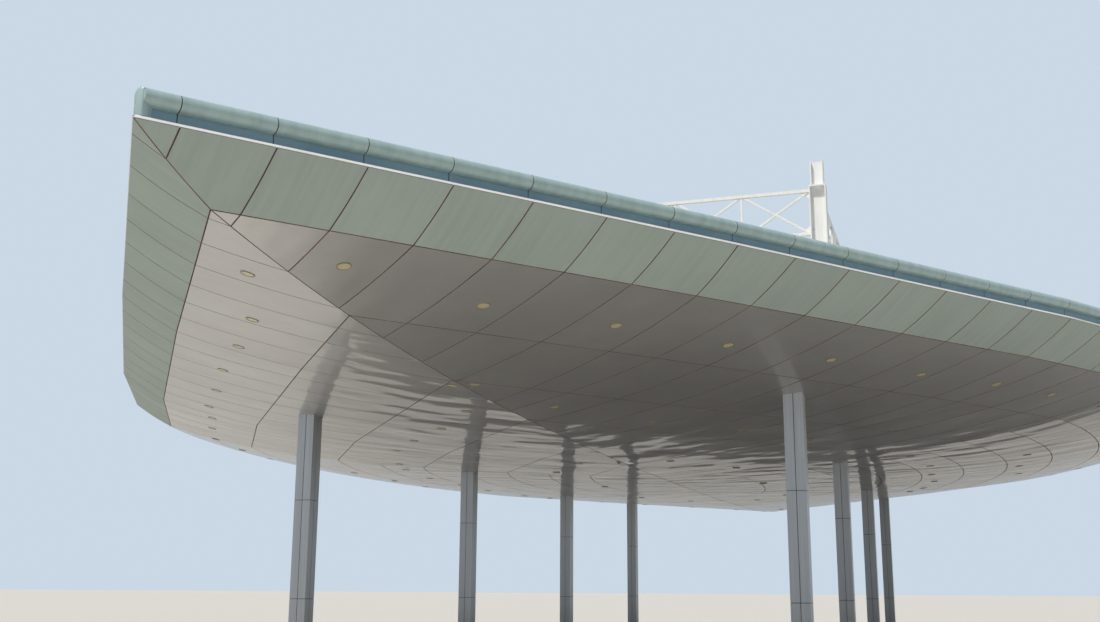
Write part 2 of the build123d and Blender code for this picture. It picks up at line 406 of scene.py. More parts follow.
def face_outwards(piece, outside):
    done()
    if sum(face.normal.dot(outside) * face.area for face in piece.data.polygons) < 0:
        edit(piece)
        bpy.ops.mesh.flip_normals()
        done()


# %% Folding the rims back into the joints
def fold_rims(piece, gap):
    edit(piece)
    bpy.ops.mesh.select_mode(type="FACE")
    bpy.ops.mesh.inset(thickness=gap / 2, depth=0, use_boundary=True, use_even_offset=True)
    bpy.ops.mesh.select_all(action="INVERT")
    piece.active_material_index = 1
    bpy.ops.object.material_slot_assign()
    bpy.ops.mesh.select_all(action="DESELECT")
    bpy.ops.mesh.select_mode(type="EDGE")
    bpy.ops.mesh.select_non_manifold()
    bpy.ops.transform.shrink_fatten(value=-joint_depth)
    bpy.ops.mesh.select_mode(type="VERT")
    done()


# %% Each panel gets its place on the edge and its own slight lean
def write_edge_map(piece, stretch):
    edge_map = piece.data.uv_layers.get("edge_map") or piece.data.uv_layers.new(name="edge_map")
    for loop in piece.data.loops:
        along, inset = edge_place(piece.data.vertices[loop.vertex_index].co, stretch)
        edge_map.data[loop.index].uv = (before_stretch[stretch] + along, inset)


def panel_stretch(
    name, finishes, stretch, section, outside, split_inset=None, blunt_end=None, gap=joint_width
):
    piece = sweep(name, finishes, stretch, section, blunt_end)
    if split_inset:
        cut_along(piece, stretch, split_inset)
    if gap > hairline:
        cut_joints(stretch)
    face_outwards(piece, outside)
    fold_rims(piece, gap)
    write_edge_map(piece, stretch)
    return piece


# vertices that share an edge belong to the same panel, and each panel draws its own three numbers
def lean_panels(piece, seed):
    island = list(range(len(piece.data.vertices)))

    def top(vertex):
        while island[vertex] != vertex:
            vertex = island[vertex]
        return vertex

    for side in piece.data.edges:
        here, there = (top(vertex) for vertex in side.vertices)
        island[max(here, there)] = min(here, there)
    dice = random.Random(seed)
    leans = {}
    values = []
    for face in piece.data.polygons:
        panel = top(face.vertices[0])
        if panel not in leans:
            leans[panel] = [dice.uniform(-1, 1) for _ in range(3)]
        values += leans[panel]
    numbers = piece.data.attributes.new("panel_lean", "FLOAT_VECTOR", "FACE")
    numbers.data.foreach_set("vector", values)
    return len(leans)


# %% [markdown]
# The canopy is the same on both sides of its axis and on both sides of its middle. So each kind
# of cladding is modelled on the near right quarter, and the other three are mirrored copies, each
# with its own mesh. A mirrored mesh is inside out, so its faces are turned over again.


# %% Joining and mirroring
def join_pieces(pieces, name):
    bpy.ops.object.select_all(action="DESELECT")
    for piece in pieces:
        piece.select_set(True)
    bpy.context.view_layer.objects.active = pieces[0]
    if len(pieces) > 1:
        bpy.ops.object.join()
    joined = bpy.context.object
    joined.name = name
    joined.data.name = name
    return joined


def mirrored_copy(piece, name, scale):
    only_select(piece)
    bpy.ops.object.duplicate(linked=False)
    twin = bpy.context.object
    twin.name = name
    edit(twin)
    bpy.ops.transform.resize(value=scale, center_override=(0, 0, 0))
    bpy.ops.mesh.flip_normals()
    done()
    return twin


# metres added to the edge map of a copy, so that no two quarters have the same waves and stains
far_shift = 31.7
left_shift = 83.3
panel_crease = 30
round_crease = 35


def shift_edge_map(piece, shift):
    for entry in piece.data.uv_layers["edge_map"].data:
        entry.uv = (entry.uv[0] + shift, entry.uv[1])


def finish_sides(quarter, name, seed, crease=panel_crease):
    far = mirrored_copy(quarter, name + "_far", (1, -1, 1))
    shift_edge_map(far, far_shift)
    right = join_pieces([quarter, far], name + "_right")
    left = mirrored_copy(right, name + "_left", (-1, 1, 1))
    shift_edge_map(left, left_shift)
    for number, (side, piece) in enumerate((("right", right), ("left", left))):
        only_select(piece)
        bpy.ops.object.shade_smooth_by_angle(angle=math.radians(crease))
        panels = lean_panels(piece, seed + number)
        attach(piece, "root")
        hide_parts(f"{name}_{side}")
        piece.name = f"{name}_panels_{side}"
        print(piece.name, "has", panels, "panels and", len(piece.data.polygons), "faces")


def clad_edge(name, finishes, section, outside, slot, seed, crease=panel_crease, **cutting):
    parts = []
    for stretch in stretches:
        parts.append(panel_stretch(name, finishes, stretch, section, outside, **cutting))
    finish_sides(join_pieces(parts, name), name, seed, crease)


# %% [markdown]
# The hull is clad in aluminium composite panels, coil coated in a champagne silver under a clear
# coat. The flakes in the coat are a satin mirror, and the clear coat over them is a sharp one
# that only shows at a flat angle. That is why the near hull has soft tones, while the far hull
# shows crisp streaks of light. The sheets are never quite flat: they buckle a little between
# their fixings, and each hangs at its own slight lean. Both are small turns of the surface, so
# they go into the bump and the normal of the shader.

# %% Lean and buckles of a sheet, for its normal
def uneven_sheet(tree, waves, lean, wave_height, most_lean):
    facing = add_node(tree, "ShaderNodeNewGeometry")
    turn = {"operation": "SCALE", "Scale": most_lean}
    turned = add_node(tree, "ShaderNodeVectorMath", turn, in_0=lean.outputs["Vector"])
    sources = {"in_0": facing.outputs["Normal"], "in_1": turned.outputs[0]}
    leaning = add_node(tree, "ShaderNodeVectorMath", {"operation": "ADD"}, **sources)
    sources = {"Height": waves.outputs[0], "Normal": leaning.outputs[0]}
    high = {"Strength": 1.0, "Distance": wave_height}
    return add_node(tree, "ShaderNodeBump", high, **sources).outputs[0]


# %% Material of the soffit panels
# metal flakes under lacquer: soft tones face on, a clear mirror at a flat angle
flakes = {"Metallic": 0.8, "Specular Tint": srgb("#bdbdbd")}
lacquer = {"Coat Weight": 0.5, "Coat Roughness": 0.05}
name = "champagne_coil_coated_aluminium_composite"
champagne, tree, shader = new_material(name, {**flakes, **lacquer})
# buckles about 500 mm from wave to wave along the edge and 900 mm across it
edge_map = add_node(tree, "ShaderNodeUVMap", {"uv_map": "edge_map"})
stretched = {"Scale": (2.0, 1.1, 1.0)}
wave_map = add_node(tree, "ShaderNodeMapping", stretched, Vector=edge_map.outputs[0])
soft = {"Scale": 1.0, "Detail": 1.5, "Roughness": 0.4}
waves = add_node(tree, "ShaderNodeTexNoise", soft, Vector=wave_map.outputs[0])
lean = add_node(tree, "ShaderNodeAttribute", {"attribute_name": "panel_lean"})
uneven = uneven_sheet(tree, waves, lean, wave_height=0.028, most_lean=0.009)
link(tree, shader, Normal=uneven, Coat_Normal=uneven)
# dust that the wind leaves on the coat, in patches of about a metre
where = add_node(tree, "ShaderNodeTexCoord").outputs["Object"]
cloudy = {"Scale": 0.9, "Detail": 6.0, "Roughness": 0.65}
dust = add_node(tree, "ShaderNodeTexNoise", cloudy, Vector=where)
champagnes = [(0.3, "#dad9d7"), (0.7, "#cccbca")]
tone = add_node(tree, "ShaderNodeValToRGB", {"stops": champagnes}, in_0=dust.outputs[0])
link(tree, shader, Base_Color=tone.outputs[0])
satin = {"To Min": 0.36, "To Max": 0.46}
gloss = add_node(tree, "ShaderNodeMapRange", satin, Value=dust.outputs[0])
link(tree, shader, Roughness=gloss.outputs[0])

# %% [markdown]
# The height of the hull falls off from the fascia to the keel, fast at first and then slowly,
# like a bow. Its joints that run along the edge stand 1.2 m apart, and the belly has one more in
# each strip, because the sheets there have to fit a rounder form.

# %% Soffit panels
fascia_depth = 0.48
fascia_underside = 3.013
keel_height = 2.405
hull_run = 1.981
band_starts = [0.48, 1.59, 2.7925, 3.995, 5.1975, 6.4]
centre_inset = 7.95


def hull_height(inset):
    rise = fascia_underside - keel_height
    return keel_height + rise * math.exp((fascia_depth - inset) / hull_run)


def stretch_reach(stretch):
    if stretch == "belly":
        return belly_half_width
    place, mean = mitres[stretch]
    on_axis = place + inward(mean) * (place.x / math.cos(math.radians(mean)))
    return (on_axis - corners[stretch]).dot(inward(headings[stretch]))


section_steps = 6
seeds_between_bands = 10
for number, (start, end) in enumerate(zip(band_starts, [*band_starts[1:], centre_inset]), 1):
    insets = [start + (end - start) * step / section_steps for step in range(section_steps + 1)]
    section = [(inset, hull_height(inset)) for inset in insets]
    parts = []
    reaching = [stretch for stretch in stretches if stretch_reach(stretch) > start + joint_width]
    for stretch in reaching:
        middle = (start + end) / 2 if stretch == "belly" and number < len(band_starts) else None
        parts.append(panel_stretch("band", [champagne, sealant], stretch, section, down, middle))
    band = join_pieces(parts, f"band_{number}")
    finish_sides(band, f"soffit_band_{number}", seeds_between_bands * number)

# %% [markdown]
# The fascia is the first ring of panels, a shallow curve from the lip down to the hull. Its coat
# is a sage grey-green with a flatter flake, and rain has washed faint stripes down it.

# %% Material of the fascia panels
# this coat is matt, so the fascia shows its own colour and hardly mirrors the ground
matt = {"Roughness": 0.6, "Specular IOR Level": 0.1}
sage, tree, shader = new_material("sage_coil_coated_aluminium_composite", matt)
edge_map = add_node(tree, "ShaderNodeUVMap", {"uv_map": "edge_map"})
# washed stripes, about 40 mm apart, down the fall of the panel
fine = {"Scale": 1.0, "Detail": 4.0}
narrow = {"Scale": (22.0, 1.6, 1.0)}
stripe_map = add_node(tree, "ShaderNodeMapping", narrow, Vector=edge_map.outputs[0])
stripes = add_node(tree, "ShaderNodeTexNoise", fine, Vector=stripe_map.outputs[0])
where = add_node(tree, "ShaderNodeTexCoord").outputs["Object"]
# they are stronger in some patches of about 700 mm than in others
patches = add_node(tree, "ShaderNodeTexNoise", {"Scale": 1.4, "Detail": 4.0}, Vector=where)
both = {"in_0": stripes.outputs[0], "in_1": patches.outputs[0]}
wash = add_node(tree, "ShaderNodeMath", {"operation": "MULTIPLY"}, **both)
sages = [(0.14, "#aab6b0"), (0.4, "#a1ada7")]
tone = add_node(tree, "ShaderNodeValToRGB", {"stops": sages}, in_0=wash.outputs[0])
# no two panels came out of the coil quite alike
lean = add_node(tree, "ShaderNodeAttribute", {"attribute_name": "panel_lean"})
draws = add_node(tree, "ShaderNodeSeparateXYZ", None, in_0=lean.outputs["Vector"])
spread = {"operation": "MULTIPLY_ADD", 1: 0.03, 2: 1.0}
batch = add_node(tree, "ShaderNodeMath", spread, in_0=draws.outputs[0])
sources = {"in_0": tone.outputs[0], "Scale": batch.outputs[0]}
batch_tone = add_node(tree, "ShaderNodeVectorMath", {"operation": "SCALE"}, **sources)
link(tree, shader, Base_Color=batch_tone.outputs[0])
# these sheets are stiffer: waves of about 330 by 660 mm that are only a few millimetres high
stretched = {"Scale": (3.0, 1.5, 1.0)}
wave_map = add_node(tree, "ShaderNodeMapping", stretched, Vector=edge_map.outputs[0])
smooth = {"Scale": 1.0, "Detail": 1.0}
waves = add_node(tree, "ShaderNodeTexNoise", smooth, Vector=wave_map.outputs[0])
link(tree, shader, Normal=uneven_sheet(tree, waves, lean, wave_height=0.005, most_lean=0.01))

# %% Fascia panels
lip_height = 3.308
fascia_bulge = 0.012
fascia_steps = 8
fascia_fall = lip_height - fascia_underside
fascia_length = math.hypot(fascia_depth, fascia_fall)
fascia_section = []
for step in range(fascia_steps + 1):
    share = step / fascia_steps
    bulge = fascia_bulge * math.sin(math.pi * share)
    inset = fascia_depth * share - bulge * fascia_fall / fascia_length
    height = lip_height - fascia_fall * share - bulge * fascia_depth / fascia_length
    fascia_section.append((inset, height))
clad_edge("fascia", [sage, sealant], fascia_section, down, "fascia_panel", seed=100)

# %% [markdown]
# The lip is edged with a white drip trim, whose face leans back a little and so catches the sun.
# Above it runs a recessed strip, and over that the coping, a bullnose that sheds the rain. Strip
# and coping are folded from coil in lengths as long as the fascia panels, so that all joints line
# up. The bullnose swells out from the strip in a wide quarter curve, as its joints show, and
# turns over in a tight one at the top, which then falls inwards to the deck. At the prow strip
# and coping end blunt against a narrow upright post, which closes the point where the two sides
# meet.

# %% Materials of the strip and the coping
# a coat that is baked on the coil is satin: it mirrors softly, and dust dulls it
strip_paint, tree, shader = new_material("blue_grey_coated_aluminium_sheet", {"Metallic": 0.3})
where = add_node(tree, "ShaderNodeTexCoord").outputs["Object"]
# dust that settled in the recess, in patches of about 400 mm
dust = add_node(tree, "ShaderNodeTexNoise", {"Scale": 2.5, "Detail": 5.0}, Vector=where)
blue_greys = [(0.35, "#7491a0"), (0.7, "#829fa9")]
tone = add_node(tree, "ShaderNodeValToRGB", {"stops": blue_greys}, in_0=dust.outputs[0])
link(tree, shader, Base_Color=tone.outputs[0])
satin = {"To Min": 0.3, "To Max": 0.45}
gloss = add_node(tree, "ShaderNodeMapRange", satin, Value=dust.outputs[0])
link(tree, shader, Roughness=gloss.outputs[0])

# the same coat where rain keeps it cleaner, so the round nose carries a soft highlight
aqua, tree, shader = new_material("pale_aqua_coated_aluminium_sheet", {"Metallic": 0.15})
where = add_node(tree, "ShaderNodeTexCoord").outputs["Object"]
# drip marks about 60 mm apart down the nose, stretched along its height
drip_map = add_node(tree, "ShaderNodeMapping", {"Scale": (16.0, 16.0, 3.0)}, Vector=where)
drips = add_node(tree, "ShaderNodeTexNoise", fine, Vector=drip_map.outputs[0])
aquas = [(0.35, "#aec5c5"), (0.7, "#9fb8b7")]
tone = add_node(tree, "ShaderNodeValToRGB", {"stops": aquas}, in_0=drips.outputs[0])
link(tree, shader, Base_Color=tone.outputs[0])
satin = {"To Min": 0.26, "To Max": 0.4}
gloss = add_node(tree, "ShaderNodeMapRange", satin, Value=drips.outputs[0])
link(tree, shader, Roughness=gloss.outputs[0])

# %% White trim of the lip
# powder melts in the oven into one smooth skin, bright white and a little glossy
lip_white, tree, shader = new_material("white_powder_coated_aluminium", {"Roughness": 0.35})
where = add_node(tree, "ShaderNodeTexCoord").outputs["Object"]
# road dust on the ledge, in patches of about 200 mm
film = add_node(tree, "ShaderNodeTexNoise", {"Scale": 5.0, "Detail": 5.0}, Vector=where)
whites = [(0.3, "#f8fbfd"), (0.75, "#eaeff0")]
tone = add_node(tree, "ShaderNodeValToRGB", {"stops": whites}, in_0=film.outputs[0])
link(tree, shader, Base_Color=tone.outputs[0])

trim_top = 3.33
trim_lean = 0.018
trim_lap = 0.03
trim_depth = 0.09
trim_step = 0.002
trim_section = [
    (trim_lap, lip_height),
    (0.0, lip_height),
    (0.0, lip_height + trim_step),
    (trim_lean, trim_top),
    (trim_depth, trim_top),
]
finishes = [lip_white, lip_white]
clad_edge("lip_trim", finishes, trim_section, outward, "white_trim", seed=150, gap=hairline)

# %% Recessed strip
recess_setback = 0.065
recess_top = 3.402
trim_inside = 0.096
strip_section = [
    (recess_setback, trim_top),
    (recess_setback, recess_top),
    (trim_inside, recess_top),
    (trim_inside, trim_top),
    (recess_setback, trim_top),
]
finishes = [strip_paint, sealant]
cutting = {"seed": 200, "gap": narrow_joint}
clad_edge("recess_strip", finishes, strip_section, outward, "recess_strip", **cutting)

# %% Coping
coping_top = 3.512
nose_height = 3.454
nose_reach = 0.063
nose_round = 0.066
coping_inside = 0.16
coping_fall = 0.006
deck_underside = 3.408
nose_steps = 8
blunt_setback = 0.052
blunt_end = -prow_reach + blunt_setback
widest = recess_setback - nose_reach
coping_section = [(trim_inside, recess_top)]
for step in range(nose_steps + 1):
    turn = math.pi / 2 * step / nose_steps
    rise = (nose_height - recess_top) * (1 - math.cos(turn))
    coping_section.append((recess_setback - nose_reach * math.sin(turn), recess_top + rise))
for step in range(1, nose_steps + 1):
    turn = math.pi / 2 * step / nose_steps
    rise = (coping_top - nose_height) * math.sin(turn)
    coping_section.append((widest + nose_round * (1 - math.cos(turn)), nose_height + rise))
coping_section += [
    (coping_inside, coping_top - coping_fall),
    (coping_inside, deck_underside),
    (trim_inside, deck_underside),
    (trim_inside, recess_top),
]
finishes = [aqua, sealant]
cutting = {"seed": 300, "crease": round_crease, "blunt_end": blunt_end, "gap": narrow_joint}
clad_edge("coping", finishes, coping_section, outward, "coping", **cutting)

# %% Posts that close the prows
post_half_width = 0.026
post_front = 0.047
post_depth = 0.09
post_top = 3.501
post_bevel = 0.012
post_rounding = 3
posts = empty_piece("prow_posts", [aqua])
for end in (1, -1):
    middle = end * (-prow_reach + post_front + post_depth / 2)
    centre = (0, middle, (post_top + trim_top) / 2)
    half_size = (post_half_width, post_depth / 2, (post_top - trim_top) / 2)
    bpy.ops.mesh.primitive_cube_add(size=2, location=centre)
    bpy.ops.transform.resize(value=half_size, center_override=centre)
    bpy.ops.mesh.select_all(action="DESELECT")
bpy.ops.mesh.select_all(action="SELECT")
bpy.ops.mesh.bevel(offset=post_bevel, segments=post_rounding, affect="EDGES")
close_up()
only_select(posts)
bpy.ops.object.shade_smooth_by_angle(angle=math.radians(round_crease))
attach(posts, "root")
print("posts at both prows")

# %% [markdown]
# Round downlights stand on the hull in two rows, one a metre in from the edge and one further in.
# Each is a pressed rim with a cream lens set back in it. A disc is drawn flush with the hull and
# extruded by the thickness of the rim, its face is inset by the width of the rim, and the lens is
# pushed back into it.

# %% Materials of the downlights
# stoved paint on a pressed ring is even and satin, with dust in patches of about 40 mm
rim_paint, tree, shader = new_material("grey_beige_painted_steel_rim", {"Roughness": 0.45})
where = add_node(tree, "ShaderNodeTexCoord").outputs["Object"]
film = add_node(tree, "ShaderNodeTexNoise", {"Scale": 25.0, "Detail": 3.0}, Vector=where)
beiges = [(0.0, "#8b7f6c"), (1.0, "#a1947e")]
tone = add_node(tree, "ShaderNodeValToRGB", {"stops": beiges}, in_0=film.outputs[0])
link(tree, shader, Base_Color=tone.outputs[0])

# moulded acrylic is glossy, and the sun has yellowed it, unevenly over about 55 mm
lens_plastic, tree, shader = new_material("cream_acrylic_lens", {"Roughness": 0.25})
where = add_node(tree, "ShaderNodeTexCoord").outputs["Object"]
film = add_node(tree, "ShaderNodeTexNoise", {"Scale": 18.0, "Detail": 3.0}, Vector=where)
creams = [(0.0, "#cfc6a5"), (1.0, "#beb48f")]
tone = add_node(tree, "ShaderNodeValToRGB", {"stops": creams}, in_0=film.outputs[0])
link(tree, shader, Base_Color=tone.outputs[0])

# %% Where the downlights are: how far in from the edge, and how far along it
outer_right = [(0.86, 1.67), (1.104, 2.904), (1.098, 4.124)]
outer_right += [(1.132, 5.372), (1.104, 6.605), (1.109, 7.861)]
outer_left = [(0.819, 1.734), (0.993, 3.034), (1.001, 4.202)]
outer_left += [(0.962, 5.537), (0.985, 6.83), (0.985, 8.105)]
outer_belly = [(1.054, 9.053), (1.048, 10.09), (1.1, 11.475)]
outer_belly += [(1.15, 12.86), (1.15, 14.245), (1.15, 15.63)]
inner_right = [(2.854, 3.872), (3.332, 5.124), (3.516, 6.496), (3.448, 7.727), (3.584, 9.165)]
inner_left = [(2.854, 3.872), (3.332, 5.2), (3.406, 6.558), (3.37, 7.805), (3.368, 9.165)]
inner_belly = [(3.62, 10.7), (3.68, 12.6), (3.752, 14.5)]
inner_belly += [(2.482, 14.556), (5.784, 9.069), (5.9, 11.7)]
on_middle = [(2.62, 16.284), (3.85, 16.284), (6.35, 16.284)]
near_rows = {1: outer_right + inner_right, -1: outer_left + inner_left}
lamp_radius = 0.053
rim_width = 0.009
rim_thickness = 0.004
lens_setback = 0.002
lamp_sides = 28
listed = near_rows[1] + outer_belly + inner_belly
print("downlights listed for the near right quarter:", len(listed))


# %% From a place on the edge to a place on the hull, and one downlight
def hull_place(inset, along):
    stretch = [name for name in stretches if before_stretch[name] <= along][-1]
    heading = headings[stretch]
    rest = along - before_stretch[stretch]
    start = corners[stretch]
    if stretch == "belly":
        heading -= math.degrees(rest / belly_radius)
        start = belly_centre - inward(heading) * belly_radius
        rest = 0
    fall = (hull_height(inset) - keel_height) / hull_run
    below = -(upright + inward(heading) * fall).normalized()
    on_edge = start + forward(heading) * rest
    return on_edge + inward(heading) * inset + upright * hull_height(inset), below


def add_lamp(piece, place, below):
    turned = below.to_track_quat("Z", "Y").to_euler()
    bpy.ops.mesh.primitive_circle_add(
        vertices=lamp_sides, radius=lamp_radius, fill_type="NGON", location=place, rotation=turned
    )
    bpy.ops.mesh.extrude_region_move(TRANSFORM_OT_translate={"value": below * rim_thickness})
    bpy.ops.mesh.inset(thickness=rim_width, depth=0)
    bpy.ops.mesh.extrude_region_move(TRANSFORM_OT_translate={"value": -below * lens_setback})
    piece.active_material_index = 1
    bpy.ops.object.material_slot_assign()
    bpy.ops.mesh.select_all(action="DESELECT")


# %% Adding the downlights, the near ones as they stand on either side, the far ones mirrored
lamps = empty_piece("downlights", [rim_paint, lens_plastic])
bpy.ops.mesh.select_mode(type="FACE")
lamp_count = 0
for side, end in ((1, 1), (-1, 1), (1, -1), (-1, -1)):
    places = near_rows[side] + outer_belly + inner_belly + (on_middle if end == 1 else [])
    for inset, along in places:
        place, below = hull_place(inset, along)
        quarter = Vector((side, end, 1))
        add_lamp(lamps, place * quarter, below * quarter)
        lamp_count += 1
bpy.ops.mesh.select_mode(type="VERT")
close_up()
face_outwards(lamps, down)
only_select(lamps)
bpy.ops.object.shade_smooth_by_angle(angle=math.radians(round_crease))
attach(lamps, "root")
print("downlights:", lamp_count)

# %% [markdown]
# The rest keeps its CAD shape and only needs its finish: the column casings, the steel frame
# between soffit and deck, the deck and the masts. Each finish is assigned to the node's own
# slots.


# %% Finishes on the CAD nodes
def finish_nodes(finish, *starts):
    chosen = [node for name, node in nodes.items() if name.startswith(starts)]
    for node in chosen:
        for place in node.material_slots:
            place.material = finish
    print(finish.name, "is on", len(chosen), "nodes")


# %% [markdown]
# The casings of the columns are folded from anodised sheet. Anodising grows a hard clear skin on
# the metal, so it stays silver and satin for decades, and only its foot gets dirty, where cars
# splash it. The sheet was drawn through rolls, which leaves fine upright lines: a noise pattern
# that is squeezed across the column and hardly at all along it looks just like them.

# %% Column casings
casing_metal, tree, shader = new_material("silver_anodised_aluminium_casing", {"Metallic": 0.45})
where = add_node(tree, "ShaderNodeTexCoord").outputs["Object"]
# faint draw lines of the anodised sheet, upright and about 12 mm apart
line_map = add_node(tree, "ShaderNodeMapping", {"Scale": (80.0, 80.0, 1.2)}, Vector=where)
even = {"Scale": 1.0, "Detail": 2.0}
draw_lines = add_node(tree, "ShaderNodeTexNoise", even, Vector=line_map.outputs[0])
# splashed dirt, in spots of about 110 mm, which fades out over the lowest 600 mm
height = add_node(tree, "ShaderNodeSeparateXYZ", None, in_0=where)
fading = {"From Min": 0.0, "From Max": 0.6, "To Min": 1.0, "To Max": 0.0}
splash = add_node(tree, "ShaderNodeMapRange", fading, Value=height.outputs[2])
spots = add_node(tree, "ShaderNodeTexNoise", {"Scale": 9.0, "Detail": 6.0}, Vector=where)
both = {"in_0": splash.outputs[0], "in_1": spots.outputs[0]}
dirt = add_node(tree, "ShaderNodeMath", {"operation": "MULTIPLY"}, **both)
silvers = [(0.3, "#adb1b6"), (0.7, "#b9bdc1")]
clean = add_node(tree, "ShaderNodeValToRGB", {"stops": silvers}, in_0=draw_lines.outputs[0])
mud = {"data_type": "RGBA", 7: srgb("#9c9384")}
colour = add_node(tree, "ShaderNodeMix", mud, in_0=dirt.outputs[0], in_6=clean.outputs[0])
link(tree, shader, Base_Color=colour.outputs[2])
satin = {"To Min": 0.32, "To Max": 0.42}
gloss = add_node(tree, "ShaderNodeMapRange", satin, Value=draw_lines.outputs[0])
link(tree, shader, Roughness=gloss.outputs[0])
finish_nodes(casing_metal, "column_")

# %% [markdown]
# The joints between the casing panels are open, and a dark rubber gasket lies on the core behind
# them. It is a flat strip as wide as the joint and stays a few millimetres below the face. Four
# strips run up each column, one on each face, and four short ones go round it at each of the two
# level joints.

# %% Rubber of the gaskets
# extruded rubber is matt and almost black, and dust turns it brown
rubber, tree, shader = new_material("brown_black_rubber_gasket", {"Roughness": 0.8})
where = add_node(tree, "ShaderNodeTexCoord").outputs["Object"]
# dust caught in the joints, in streaks of about 80 mm
film = add_node(tree, "ShaderNodeTexNoise", {"Scale": 12.0, "Detail": 3.0}, Vector=where)
brown_blacks = [(0.0, "#3a2f28"), (1.0, "#57483c")]
tone = add_node(tree, "ShaderNodeValToRGB", {"stops": brown_blacks}, in_0=film.outputs[0])
link(tree, shader, Base_Color=tone.outputs[0])

# %% Gaskets in the casing joints
column_x = 2.6665
column_rows = (-7.125, -2.375, 2.375, 7.125)
level_joints = (0.7, 1.75)
core_half = 0.089
gasket_width = 0.006
gasket_depth = 0.004
gasket_sink = 0.0005
gasket_top = 2.9
gasket_round = 0.0006


def add_gasket(column, face, height, size):
    turn = Matrix.Rotation(math.pi / 2 * face, 4, "Z")
    out = core_half + gasket_depth / 2 - gasket_sink
    centre = column + turn @ Vector((out, 0, 0)) + upright * height
    bpy.ops.mesh.select_all(action="DESELECT")
    bpy.ops.mesh.primitive_cube_add(size=1, location=centre, rotation=turn.to_euler(), scale=size)
    bpy.ops.mesh.bevel(offset=gasket_round, segments=1, affect="EDGES")


gaskets = empty_piece("column_gaskets", [rubber])
for side in (-1, 1):
    for row in column_rows:
        column = Vector((side * column_x, row, 0))
        for face in range(4):
            add_gasket(column, face, gasket_top / 2, (gasket_depth, gasket_width, gasket_top))
            for height in level_joints:
                add_gasket(column, face, height, (gasket_depth, 2 * core_half, gasket_width))
close_up()
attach(gaskets, "root")
print("gasket faces:", len(gaskets.data.polygons))

# %% [markdown]
# The girders and cross beams between soffit and deck are steel sections that were dipped in
# molten zinc. The zinc sets in crystals as large as a coin, the spangle, and each has its own
# grey and its own gloss. A cell pattern gives the same patches, so one pattern drives both the
# colour and the roughness.

# %% Galvanised steel of the girders and cross beams
zinc, tree, shader = new_material("hot_dip_galvanised_steel", {"Metallic": 0.85})
where = add_node(tree, "ShaderNodeTexCoord").outputs["Object"]
# spangle of the zinc, drawn at 25 mm so that it shows
spangle = add_node(tree, "ShaderNodeTexVoronoi", {"Scale": 40.0}, Vector=where)
zinc_greys = [(0.0, "#8c9194"), (1.0, "#aeb3b5")]
tone = add_node(tree, "ShaderNodeValToRGB", {"stops": zinc_greys}, in_0=spangle.outputs["Color"])
link(tree, shader, Base_Color=tone.outputs[0])
satin = {"To Min": 0.38, "To Max": 0.55}
gloss = add_node(tree, "ShaderNodeMapRange", satin, Value=spangle.outputs["Distance"])
link(tree, shader, Roughness=gloss.outputs[0])
finish_nodes(zinc, "main_girder", "cross_beam")

# %% [markdown]
# The masts and trusses are welded from rolled and hollow sections and painted off white. Paint on
# steel in the open shows runs of dust, and where water stands, at welds and bolts, a little rust.

# %% Off-white paint of the masts and trusses
# brushed alkyd paint dries to a satin skin that isn't quite even
mast_paint, tree, shader = new_material("off_white_alkyd_painted_steel", {"Roughness": 0.42})
where = add_node(tree, "ShaderNodeTexCoord").outputs["Object"]
# dust runs, about 50 mm apart, drawn out along the height
run_map = add_node(tree, "ShaderNodeMapping", {"Scale": (20.0, 20.0, 2.5)}, Vector=where)
ragged = {"Scale": 1.0, "Detail": 5.0}
runs = add_node(tree, "ShaderNodeTexNoise", ragged, Vector=run_map.outputs[0])
off_whites = [(0.3, "#fafcfe"), (0.75, "#eceeed")]
dusty = add_node(tree, "ShaderNodeValToRGB", {"stops": off_whites}, in_0=runs.outputs[0])
# rust specks, some 30 mm across and far apart
specks = add_node(tree, "ShaderNodeTexNoise", {"Scale": 14.0, "Detail": 8.0}, Vector=where)
rare = {"From Min": 0.72, "From Max": 0.8, "To Min": 0.0, "To Max": 0.6}
rusted = add_node(tree, "ShaderNodeMapRange", rare, Value=specks.outputs[0])
rust = {"data_type": "RGBA", 7: srgb("#8a5a3a")}
colour = add_node(tree, "ShaderNodeMix", rust, in_0=rusted.outputs[0], in_6=dusty.outputs[0])
link(tree, shader, Base_Color=colour.outputs[2])
slight = {"Strength": 0.3, "Distance": 0.001}
brushed = add_node(tree, "ShaderNodeBump", slight, Height=specks.outputs[0])
link(tree, shader, Normal=brushed.outputs[0])
finish_nodes(mast_paint, "mast_", "truss_")

# %% [markdown]
# Where a truss meets a mast, thin gusset plates stiffen the corners between chord and mast. Each
# is a thin block with its free corner cut off on the slant, and its edges are ground round.

# %% Gusset plates
mast_x = 2.527
mast_y = 2.375
casing_face = 0.116
web_face = 0.008
flange_tip = 0.09
top_chord = 6.324
bottom_chord = 5.694
half_chord = 0.022
gusset_thickness = 0.008
gusset_length = 0.17
gusset_height = 0.13
gusset_bevel = 0.0012
slant_from = 0.75


def add_plate(corner, along, rise, thick):
    centre = corner + along / 2 + rise / 2
    size = [abs(sum(parts)) for parts in zip(along, rise, thick)]
    bpy.ops.mesh.select_all(action="DESELECT")
    bpy.ops.mesh.primitive_cube_add(size=1, location=centre, scale=size)
    slant = along.normalized() * rise.length + rise.normalized() * along.length
    tip = corner + along * slant_from
    bpy.ops.mesh.bisect(plane_co=tip, plane_no=slant, clear_outer=True, use_fill=True)


